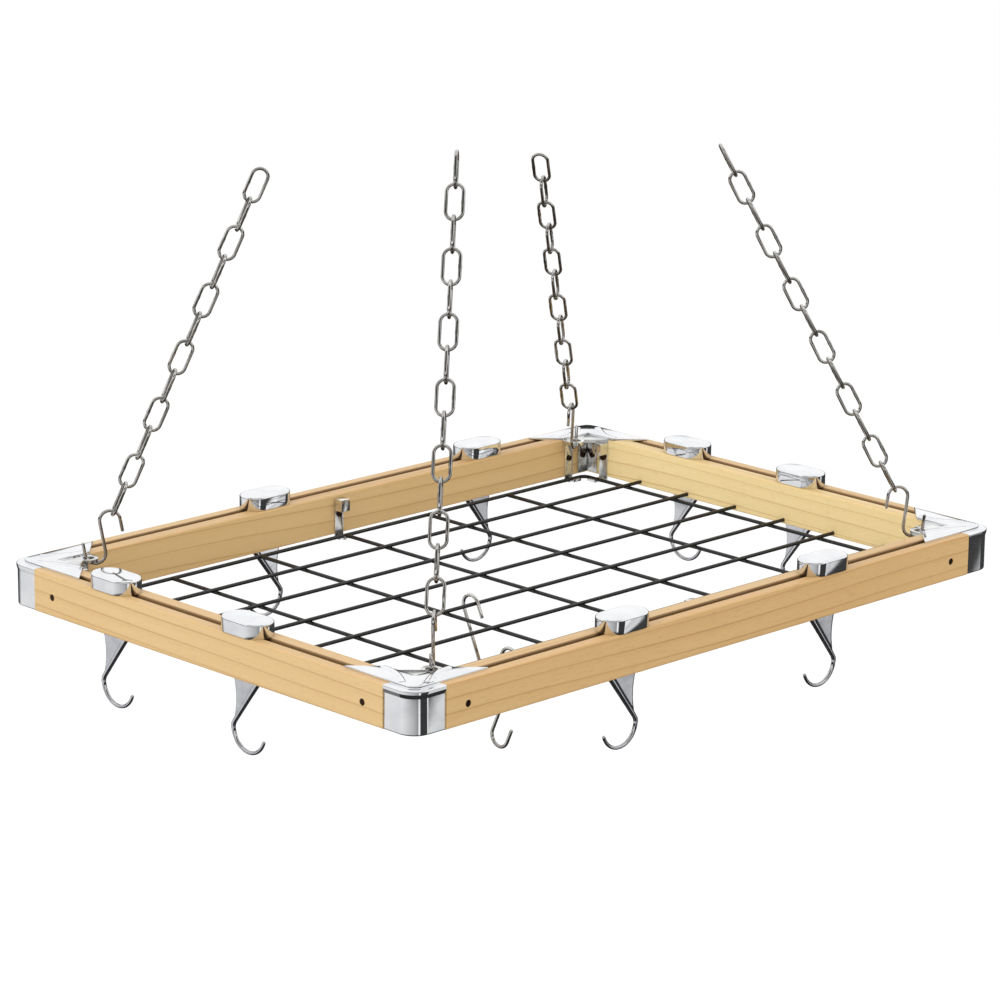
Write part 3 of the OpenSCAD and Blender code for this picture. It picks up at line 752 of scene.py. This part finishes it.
def along(axis, length):
    """A step of some length along axis 0, 1 or 2."""
    return [length if axis == number else 0 for number in range(3)]


def pull_arms(limit, reach):
    """Draws a block out along X and along Y; limit keeps the second pull off the first arm."""
    for axis in (0, 1):
        pick("faces", lambda f: f.normal[axis] > FACING and middle(f)[1 - axis] < limit)
        pull_out(*along(axis, reach))


def begin_post():
    rest()
    bpy.ops.mesh.primitive_cube_add(size=1, location=mm(POST / 2, POST / 2, RAIL_H / 2),
                                    scale=mm(POST, POST, RAIL_H))
    begin("post")
    soften(POST_ROUND, 16, lambda e: abs(middle(e).x) < CLOSE and abs(middle(e).y) < CLOSE)
    cut((OUTER, 0, 0), (1, 0, 0))
    cut((0, OUTER, 0), (0, 1, 0))
    pull_arms(OUTER, POST_L - POST)
    merge(0.01)


begin_post()
print("post block", POST, "mm with legs to", POST_L, "mm")

# %% [markdown]
# The post has a lip at its top and is set back a little below it. The slope under the lip shows
# as the black line in the post's reflections. A bevel could make it, but shading would smooth
# it into its neighbours, so two more cuts hold it flat. The lower and upper edges are rounded
# last, because these rounds are the dark outlines of the post.

# %% Lip and rims of the corner post
LIP_TOP, LIP_FOOT, LIP_HOLD = 40.4, 36, 0.4    # the slope's ends, and how far in it is held
SET_BACK, SET_IN = 1.2, 0.94                   # for the flat legs, and the same for the corner
POST_RIM, POST_FOOT = 1.6, 3.4


def on_corner(v):
    """Whether a point lies on the post's round corner."""
    x, y = middle(v).x, middle(v).y
    from_arc = math.hypot(x - POST_ROUND, y - POST_ROUND) - POST_ROUND
    return abs(from_arc) < 0.1 and max(x, y) < POST_ROUND + CLOSE


def outer_rim(level):
    """A test for the edges of the outer faces at one height."""
    def test(edge):
        faces = edge.link_faces
        return (abs(middle(edge).z - level) < CLOSE and len(faces) == 2
                and abs(abs(faces[0].normal.z) - abs(faces[1].normal.z)) > 0.5
                and min(f.normal.x + f.normal.y for f in faces) < -0.4)
    return test


def finish_post():
    for z in (LIP_TOP, LIP_FOOT):
        cut((0, 0, z), (0, 0, 1))
    arc = pick("verts", lambda v: middle(v).z < LIP_FOOT + 0.1 and on_corner(v))
    bpy.ops.transform.resize(value=(SET_IN, SET_IN, 1),
                             center_override=mm(POST_ROUND, POST_ROUND, 0))
    for axis in (0, 1):
        pick("verts", lambda v: middle(v).z < LIP_FOOT + 0.1 and abs(middle(v)[axis]) < 0.1
             and middle(v)[1 - axis] > POST_ROUND + CLOSE)
        push(*along(axis, SET_BACK))
    for z in (LIP_TOP - LIP_HOLD, LIP_FOOT + LIP_HOLD):
        cut((0, 0, z), (0, 0, 1))
    top = soften(POST_RIM, 5, outer_rim(RAIL_H))
    soften(POST_FOOT, 6, outer_rim(0))
    print("post points on its round corner:", arc, "rim edges:", top)
    return finish_shape()


post = finish_post()
report(post)

# %% [markdown]
# On top of the post lies a plate with two wings, one over each rail. It is a block as well, with
# its arms drawn out and their ends slanted by pushing the outer and inner points apart. It has
# to be one piece, because a seam across the mirror of the top would show.

# %% Corner plate
PLATE_IN, PLATE_ARM, PLATE_T = 8.5, 36, 2.5    # from the outer faces: its start and its arms' width
WING = 54                                      # how far an arm is drawn out
WING_OUT, WING_IN = 13.5, -14                  # the slant of its end
PLATE_ROUND, PLATE_EDGE = 11, 0.9


def model_plate():
    rest()
    centre, width = (PLATE_IN + PLATE_ARM) / 2, PLATE_ARM - PLATE_IN
    bpy.ops.mesh.primitive_cube_add(size=1, location=mm(centre, centre, RAIL_H + PLATE_T / 2),
                                    scale=mm(width, width, PLATE_T))
    begin("plate")
    pull_arms(PLATE_ARM, WING)
    for axis in (0, 1):
        for outer, slant in ((True, WING_OUT), (False, WING_IN)):
            pick("verts", lambda v: middle(v)[axis] > PLATE_ARM + 1
                 and (middle(v)[1 - axis] < PLATE_IN + 1) == outer)
            push(*along(axis, slant))
    soften(PLATE_ROUND, 10, lambda e: abs(middle(e).x - PLATE_IN) < CLOSE
           and abs(middle(e).y - PLATE_IN) < CLOSE)
    top = soften(PLATE_EDGE, 3, rim_at(RAIL_H + PLATE_T))
    print("plate edges:", top)
    return finish_shape()


plate = model_plate()
report(plate)

# %% [markdown]
# Two tongues hold the casting in the slots, and hide the slots' ends. A raised ridge runs over
# the plate from wing to wing. It could be a bent bar, but it has to stay level while it curves
# and widens. So half of it is swept upright, as the J was. One copy is then laid down along X,
# and another is turned over the diagonal.

# %% Tongues and ridges of the corner casting
TONGUE_T, TONGUE_H, TONGUE_L = SLOT - 0.2, RAIL_H - 4, 64
RIDGE_LINE = [(77, 32.6), (70, 32.4), (63, 31.2), (56, 28.9), (49, 25.6), (42, 21.4),
              (36, 17.2), (30, 13.4)]
RIDGE_W, RIDGE_WIDER, RIDGE_T = 6.4, 0.25, 2.4    # its width at the wing, and more at each point
RIDGE_Z = RAIL_H + 2.2


def model_tongues():
    rest()
    centre = OUTER + SLOT / 2
    bpy.ops.mesh.primitive_cube_add(size=1, location=mm(centre, centre, RAIL_H / 2),
                                    scale=mm(TONGUE_T, TONGUE_T, TONGUE_H))
    begin("tongues")
    pull_arms(OUTER + SLOT, TONGUE_L)
    soften(0.5, 2, lambda e: max(middle(e).xy) > centre + TONGUE_L)
    return finish_shape()


def model_ridge():
    """Half of the ridge, upright: from a wing's inner edge it curves out over the corner."""
    stations = []
    for number, (x, y) in enumerate(RIDGE_LINE):
        before = RIDGE_LINE[max(number - 1, 0)]
        after = RIDGE_LINE[min(number + 1, len(RIDGE_LINE) - 1)]
        tilt = math.atan2(after[0] - before[0], after[1] - before[1])
        stations.append((x, y, tilt, RIDGE_W + RIDGE_WIDER * number, RIDGE_T))
    return sweep("ridge", stations)


tongues = model_tongues()
report(tongues)
ridge = model_ridge()
report(ridge)
laid = moved(0, 0, RIDGE_Z) @ turned(-math.pi / 2, "X")
over = moved(0, 0, RIDGE_Z) @ turned(math.pi, Vector((1, 1, 0))) @ turned(-math.pi / 2, "X")
ridges = [copy_to(ridge, "ridge_x", laid), copy_to(ridge, "ridge_y", over)]
discard(ridge)

# %% [markdown]
# The four castings are the same part, turned by quarters. That is also how the real ones come
# out of one mould, so a single pattern is copied to the corners.

# %% Four corner castings
# each corner's side in X, its side in Y, and the turn in degrees that brings the pattern there
CORNERS = {"front_left": (-1, -1, 0), "front_right": (1, -1, 90),
           "back_left": (-1, 1, 270), "back_right": (1, 1, 180)}

corner_pattern = join([post, plate, tongues, *ridges], "corner_pattern")
for key, (side_x, side_y, turn) in CORNERS.items():
    place = moved(side_x * FRAME_L / 2, side_y * FRAME_W / 2, BASE)
    casting = copy_to(corner_pattern, f"corner_casting_{key}",
                      place @ turned(math.radians(turn), "Z"))
    dress(casting, chrome, "frame", f"corner_{key}")
report(casting)
discard(corner_pattern)

# %% [markdown]
# A chain link is a ring of wire pulled long and welded on one side. It could be a curve with a
# bevel, but a torus has its wire already: its two halves are drawn apart for the straight sides,
# and the side that was welded gets a small swelling.

# %% One chain link
LINK_L, LINK_W, LINK_D = 38.8, 20, 3.4
RING_STEPS, WIRE_STEPS = 30, 12
WELD = 1.16    # how much thicker the wire is at the weld


def model_link():
    rest()
    ring = (LINK_W - LINK_D) / 2
    bpy.ops.mesh.primitive_torus_add(major_radius=mm(ring), minor_radius=mm(LINK_D / 2),
                                     major_segments=RING_STEPS, minor_segments=WIRE_STEPS)
    begin("link_pattern")
    for side in (-1, 1):
        pick("verts", lambda v: v.co.x * side > 0)
        push(side * (LINK_L - LINK_W) / 2, 0, 0)
    # picking also takes the short edges between the long ones, so both ways are cut
    pick("edges", lambda e: (e.verts[0].co - e.verts[1].co).length > 0.01 and middle(e).y > 0)
    bpy.ops.mesh.subdivide(number_cuts=5)
    weld = pick("verts", lambda v: abs(middle(v).x) < 0.5 and v.co.y > 0)
    bpy.ops.transform.resize(value=(1, WELD, WELD), center_override=mm(0, ring, 0))
    print("points round the wire at the weld:", weld)
    return finish_shape(math.pi)


link_pattern = model_link()
report(link_pattern)

# %% [markdown]
# Each chain leans towards the point above the rack where all four would meet. The links could be
# dropped in a simulation, but a taut chain is a straight line, so their places are worked out:
# the hook hangs in the bracket's eye, and the links follow it with a hair of play between them.

# %% Lines of the chains
PLAY = 0.15                          # between wires that hang in each other
HOOK_D, BEND, STEM, LEG = 3.5, 10.5, 31, 14    # the wire hook between bracket and chain
EYE_D, EYE_RIM, TAB_T = 12, 4, 4               # the eye, the metal round it, and its thickness
EYE_X, EYE_Y = FRAME_L / 2 - RAIL_W - 30.5, FRAME_W / 2 - RAIL_W - 10.5
RING_D = EYE_D / 2 + EYE_RIM / 2 - 0.75        # from the eye's middle to the hook's lower bend
WEB = EYE_D / 2 + EYE_RIM - RING_D
RING_Z = RAIL_H - TAB_T + math.sqrt((BEND - HOOK_D / 2 - PLAY) ** 2 - WEB ** 2)
SPAN = math.hypot(STEM, 2 * BEND)              # between the hook's two bends
PITCH = LINK_L - 2 * LINK_D - PLAY
FIRST = BEND - HOOK_D / 2 - LINK_D / 2 - PLAY + (LINK_L - LINK_D) / 2
MEETING = Vector((-27, 27, 932))
UPRIGHT = turned(math.pi / 2, "X")


def chain_start(key):
    """The middle of the hook's lower bend, with X towards the meeting point, and the lean."""
    side_x, side_y = CORNERS[key][:2]
    eye = Vector((side_x * EYE_X, side_y * EYE_Y))
    way = MEETING.xy - eye
    lean = math.atan((way.length - RING_D) / (MEETING.z - RING_Z))
    start = moved(eye.x, eye.y, BASE + RING_Z) @ turned(math.atan2(way.y, way.x), "Z")
    return start @ moved(RING_D, 0, 0), lean


def run_of_links(key, first, last, name):
    """Links number first to last of one chain, every second one turned a quarter."""
    start, lean = chain_start(key)
    start = start @ turned(lean, "Y") @ moved(0, 0, SPAN + FIRST)
    links = []
    for number in range(first, last + 1):
        quarter = turned(math.pi / 2 if number % 2 else 0, "Z")
        # the link was modelled long in X and flat in Z: stand it up along the chain
        stood = quarter @ UPRIGHT @ turned(math.pi / 2, "Z")
        links.append(copy_to(link_pattern, f"link_{key}_{number}",
                             start @ moved(0, 0, (number - 1) * PITCH) @ stood))
    return join(links, name)


for key in CORNERS:
    print(key, "chain leans", round(math.degrees(chain_start(key)[1]), 2), "degrees")

# %% [markdown]
# A chain could be one piece per link, but the CAD model swings it as three: the lower run, the
# upper run and the last link, which is what the ceiling's hook takes. So the links of a run are
# joined into one piece, and each run rides on its own body.

# %% The four chains
LINKS = {"front_left": 14, "front_right": 13, "back_left": 12, "back_right": 11}
LOWER_LINKS = 6


def dress_run(key, part, first, last, body, node):
    run = run_of_links(key, first, last, f"{part}_{key}")
    dress(run, nickel, f"{body}_{key}", f"{node}_{key}")


for key, count in LINKS.items():
    dress_run(key, "lower_run", 1, LOWER_LINKS, "chain", "chain_lower")
    dress_run(key, "upper_run", LOWER_LINKS + 1, count - 1, "chain_end", "chain_upper")
    dress_run(key, "last_link", count, count, "chain_end", "top_link")
    print(key, "chain of", count, "links")
discard(link_pattern)

# %% [markdown]
# Two kinds of hook are bent from wire: the ones between brackets and chains, and the loose ones
# on the grid. Both start as a disc of wire that is drawn straight, spun round a bend, drawn
# along the stem and spun back the other way. Both ends are rounded, as wire is after tumbling.

# %% Bent wire hooks
LOOSE_D, LOOSE_BEND, LOOSE_STEM, LOOSE_LEG = 3.6, 11, 80, 16
HOOK_SIDES = 16


def model_wire_hook(name, thick, bend, stem, leg):
    """An S of wire: two bends, the stem between them and a straight leg at both ends."""
    rest()
    bpy.ops.mesh.primitive_circle_add(vertices=HOOK_SIDES, radius=mm(thick / 2),
                                      fill_type="NGON", location=mm(2 * bend, -leg, 0),
                                      rotation=(math.pi / 2, 0, 0))
    begin(name)
    bpy.ops.mesh.select_all(action="SELECT")
    pull_out(0, leg, 0)
    bpy.ops.mesh.spin(steps=16, angle=-math.pi, center=mm(bend, 0, 0), axis=(0, 0, 1))
    pull_out(0, -stem, 0)
    bpy.ops.mesh.spin(steps=16, angle=math.pi, center=mm(-bend, -stem, 0), axis=(0, 0, 1))
    pull_out(0, leg, 0)
    merge(0.01)
    ends = pick("faces", lambda f: len(f.verts) == HOOK_SIDES)
    bpy.ops.mesh.bevel(offset=mm(thick * 0.3), segments=3, affect="EDGES")
    print(name, "ends:", ends)
    return finish_shape(math.radians(80))


loose_pattern = model_wire_hook("loose_pattern", LOOSE_D, LOOSE_BEND, LOOSE_STEM, LOOSE_LEG)
report(loose_pattern)
eye_pattern = model_wire_hook("eye_pattern", HOOK_D, BEND, STEM, LEG)
report(eye_pattern)

# %% [markdown]
# A loose hook hangs with its weight below the grid's wire, which tilts its stem. A chain's hook
# is pulled straight between eye and chain, so its two bends lie on the chain's line. Both could
# be turned by eye until they look right, but worked-out places also leave no overlap.

# %% Hang the wire hooks
GRID_D, GRID_Z = 4, 4.5                 # the grid's wire, and its height above the underside
LOOSE_LEAN = math.radians(24)
LOOSE_AT = {"inner": (-85, -36, -1), "outer": (-184, -180, 1)}    # x, y and the way it faces


def loose_place(x, y, side):
    """The matrix that hangs the upper bend on a grid wire that runs along X."""
    half, lean_x, lean_z = LOOSE_STEM / 2, math.sin(LOOSE_LEAN), math.cos(LOOSE_LEAN)
    reach = LOOSE_BEND - LOOSE_D / 2 - GRID_D / 2 - PLAY
    across = half * lean_x - LOOSE_BEND * lean_z
    drop = -math.sqrt(reach ** 2 - across ** 2)
    stem_middle = drop - half * lean_z - LOOSE_BEND * lean_x
    return (moved(x, y, BASE + GRID_Z) @ turned(side * math.pi / 2, "Z")
            @ moved(0, 0, stem_middle) @ UPRIGHT @ turned(LOOSE_LEAN, "Z") @ moved(0, half, 0))


for key, at in LOOSE_AT.items():
    wire = copy_to(loose_pattern, f"wire_hook_{key}", loose_place(*at))
    dress(wire, nickel, f"loose_{key}", f"loose_hook_{key}")
for key in CORNERS:
    start, lean = chain_start(key)
    turn = math.atan(2 * BEND / STEM) - lean
    place = start @ UPRIGHT @ turned(turn, "Z") @ moved(BEND, STEM, 0)
    wire = copy_to(eye_pattern, f"chain_hook_{key}", place)
    dress(wire, nickel, f"eye_{key}", f"eye_hook_{key}")
print("loose hooks:", len(LOOSE_AT), "chain hooks:", len(CORNERS))
discard(loose_pattern)
discard(eye_pattern)

# %% [markdown]
# Brackets and clips are stamped and plated parts. Their solids have the right forms already, but
# with knife-sharp edges that catch no light. Modelling them again would gain nothing, so a
# merged copy of each solid gets a fine bevel, which is what stamping and plating leave.

# %% Brackets and clips
BRACKET_EDGE, CLIP_EDGE = 0.5, 0.35


def softened_copy(node, name, width):
    """A copy of a CAD solid with its edges rounded by width."""
    piece = nodes[node].copy()
    piece.data = nodes[node].data.copy()
    piece.name = piece.data.name = name
    piece.parent = None
    for key in list(piece.keys()):
        del piece[key]
    bpy.context.collection.objects.link(piece)
    take(piece)
    bpy.ops.object.mode_set(mode="EDIT")
    merge(0.002)
    bpy.ops.mesh.dissolve_limited(angle_limit=math.radians(2))
    rest()
    apply_modifier(piece, "BEVEL", width=mm(width), segments=2, limit_method="ANGLE",
                   angle_limit=math.radians(40))
    take(piece)
    bpy.ops.object.shade_smooth_by_angle(angle=SMOOTH_BELOW)
    rest()
    return piece


for key in CORNERS:
    bracket = softened_copy(f"bracket_{key}", f"eye_bracket_{key}", BRACKET_EDGE)
    dress(bracket, zinc, "frame", f"bracket_{key}")
for node in ("clips_long_rails", "clips_short_rails"):
    clip = softened_copy(node, f"{node}_soft", CLIP_EDGE)
    dress(clip, zinc, "frame", node)
report(bracket)
report(clip)

# %% [markdown]
# The grid is drawn wire, welded where it crosses, let into the short rails and dipped in enamel.
# Its solids are right, and so are the screws', so only a finish is laid on them. New pieces in
# their place would look the same.

# %% Grid and screws
ENAMELLED = ("grid_long_wires", "grid_cross_wires", "grid_rim_wire")
SCREWS = ("frame_screws", "bracket_screws", "clip_screws")
for node in ENAMELLED:
    nodes[node].material_slots[0].material = black_enamel
for node in SCREWS:
    nodes[node].material_slots[0].material = browned
print("enamelled:", ENAMELLED, "browned:", SCREWS)

# %% [markdown]
# The world is plain to matt surfaces and white to the camera. Mirrors see a studio in it, white
# cards with dark gaps between them, because chrome in an all-white room looks like grey plastic.
# Real cards would have to be hidden from the camera, and would light the wood unevenly. So the
# cards are drawn by bearing and height, and only glossy rays see them.

# %% What the mirrors see
# the cards' brightness by bearing, from west over south to north-east: 0 to 1 is a full turn
CARD_STOPS = [(0, 0.03), (0.07, 0.80), (0.16, 0.84), (0.27, 0.66), (0.38, 0.46), (0.44, 0.28),
              (0.45, 1.0), (0.47, 1.0), (0.48, 0.015), (0.604, 0.015), (0.609, 1.0),
              (0.617, 1.0), (0.6215, 0.60), (0.634, 0.74), (0.6395, 0.72), (0.6415, 0.02)]
CARD_TOP, CARD_FOOT = (-0.11, -0.07), (-0.62, -0.52)    # as the ray's rise, with soft edges
CEILING, DIM = (0.08, 0.15), 0.03                       # where it starts, and the level elsewhere
CEILING_LEVEL = 1.05

world = Finish(bpy.data.worlds.new("studio"))
bpy.context.scene.world = world.owner
sight = world.add("ShaderNodeTexCoord", {}, {}, "Generated")
east, north, rise = [world.add("ShaderNodeSeparateXYZ", {}, {"Vector": sight}, axis)
                     for axis in "XYZ"]


def step(value, low, high):
    """0 below low, 1 above high, smooth between."""
    return world.add("ShaderNodeMapRange", {"interpolation_type": "SMOOTHSTEP"},
                     {"Value": value, "From Min": low, "From Max": high})


bearing = east.math("ARCTAN2", north * -1) * (180 / math.pi)
cards = (ramp(world, bearing * (1 / 360) + 0.5, CARD_STOPS)
         * (1 - step(rise, *CARD_TOP)) * step(rise, *CARD_FOOT))
# the ceiling is lit, but for a dark gap half way up on the camera's side
toward = east * -0.702 + north * -0.712
gap = step(toward, 0.25, 0.4) * step(rise, 0.42, 0.5) * (1 - step(rise, 0.80, 0.88))
ceiling = step(rise, *CEILING) * (1 - gap * 0.95)
mirror_view = cards + ceiling * CEILING_LEVEL + DIM
print("studio cards drawn from", len(CARD_STOPS), "stops")

# %% [markdown]
# Who looks decides what is seen. Light Path tells the camera's rays, mirrors and glass from the
# rest, so one Background node serves all of them: white for the camera, the cards for mirrors,
# and a plain grey level that lights the wood evenly.

# %% World
MATT_LEVEL = 0.70


def light_paths(finish):
    """Whether a ray comes from the camera, from a mirror or through glass."""
    return [finish.add("ShaderNodeLightPath", {}, {}, f"Is {kind} Ray")
            for kind in ("Camera", "Glossy", "Transmission")]


camera_ray, glossy_ray, through_ray = light_paths(world)
seen = (camera_ray + through_ray).math("MINIMUM", 1)
level = (1 - glossy_ray) * ((1 - seen) * MATT_LEVEL + seen) + glossy_ray * mirror_view
backdrop = world.add("ShaderNodeBackground", {}, {"Color": (1, 1, 1, 1), "Strength": level})
world.add("ShaderNodeOutputWorld", {}, {"Surface": backdrop})
print("matt surfaces see a world at", MATT_LEVEL)

# %% [markdown]
# The floor is pale and lies well below the rack, because the rack hangs. The camera sees it
# nearly white, as in the photograph, but a faint shadow could still fall on it. From below it is
# clear, so that it doesn't hide the rack in a view from there.

# %% Floor
FLOOR_SIZE, FLOOR_Z = 60, -0.9         # metres
GLOW, GLOW_SHARE = 1.25, 0.6           # what the eye gets besides the matt floor

rest()
bpy.ops.mesh.primitive_plane_add(size=FLOOR_SIZE, location=(0, 0, FLOOR_Z))
floor = bpy.context.object
floor.name = "floor"
bpy.ops.object.transform_apply(location=True, rotation=True, scale=True)
pale = new_finish("pale_floor")
speckle = noise(pale, (3, 3, 3), 3)
tone = blend(pale, speckle, colour(240, 240, 239), colour(244, 244, 243))
matt = pale.add("ShaderNodeBsdfDiffuse", {}, {"Color": tone})
glow = pale.add("ShaderNodeEmission", {}, {"Color": (1, 1, 1, 1), "Strength": GLOW})
camera_ray, glossy_ray, through_ray = light_paths(pale)
watched = (camera_ray + glossy_ray + through_ray).math("MINIMUM", 1)
lit = pale.add("ShaderNodeMixShader", {}, {0: watched * GLOW_SHARE, 1: matt, 2: glow})
under = pale.add("ShaderNodeNewGeometry", {}, {}, "Backfacing")
clear = pale.add("ShaderNodeBsdfTransparent", {}, {})
both_sides = pale.add("ShaderNodeMixShader", {}, {0: under, 1: lit, 2: clear})
pale.add("ShaderNodeOutputMaterial", {}, {"Surface": both_sides})
floor.data.materials.append(pale.owner)
floor.visible_glossy = False
print("floor at", FLOOR_Z, "m")

# %% [markdown]
# One large lamp stands on the left, one in front and one above. A single lamp would leave the
# short rail black, and small lamps would throw hard shadows of the wires. Mirrors don't see the
# lamps, because the cards already are what they show.

# %% Lamps
LAMPS = {"left_lamp": ((-3.4, 0.2, 1.9), 2.4, 62), "front_lamp": ((0.8, -3.4, 1.7), 2.2, 30),
         "top_lamp": ((-0.2, -0.2, 3.2), 2.6, 34)}    # place in m, size in m, power in W
AIM = Vector((0, 0, 0.1))

for name, (place, size, power) in LAMPS.items():
    light = bpy.data.lights.new(name, "AREA")
    light.shape, light.size, light.energy = "SQUARE", size, power
    holder = bpy.data.objects.new(name, light)
    bpy.context.collection.objects.link(holder)
    holder.location = place
    holder.rotation_euler = (AIM - Vector(place)).to_track_quat("-Z", "Y").to_euler()
    holder.visible_glossy = False
    holder.visible_camera = False
    print(name, power, "W")

# %% [markdown]
# The light is plain, so the picture needs no look of its own: the view transform stays Standard.

# %% View transform
bpy.context.scene.view_settings.view_transform = "Standard"
rest()
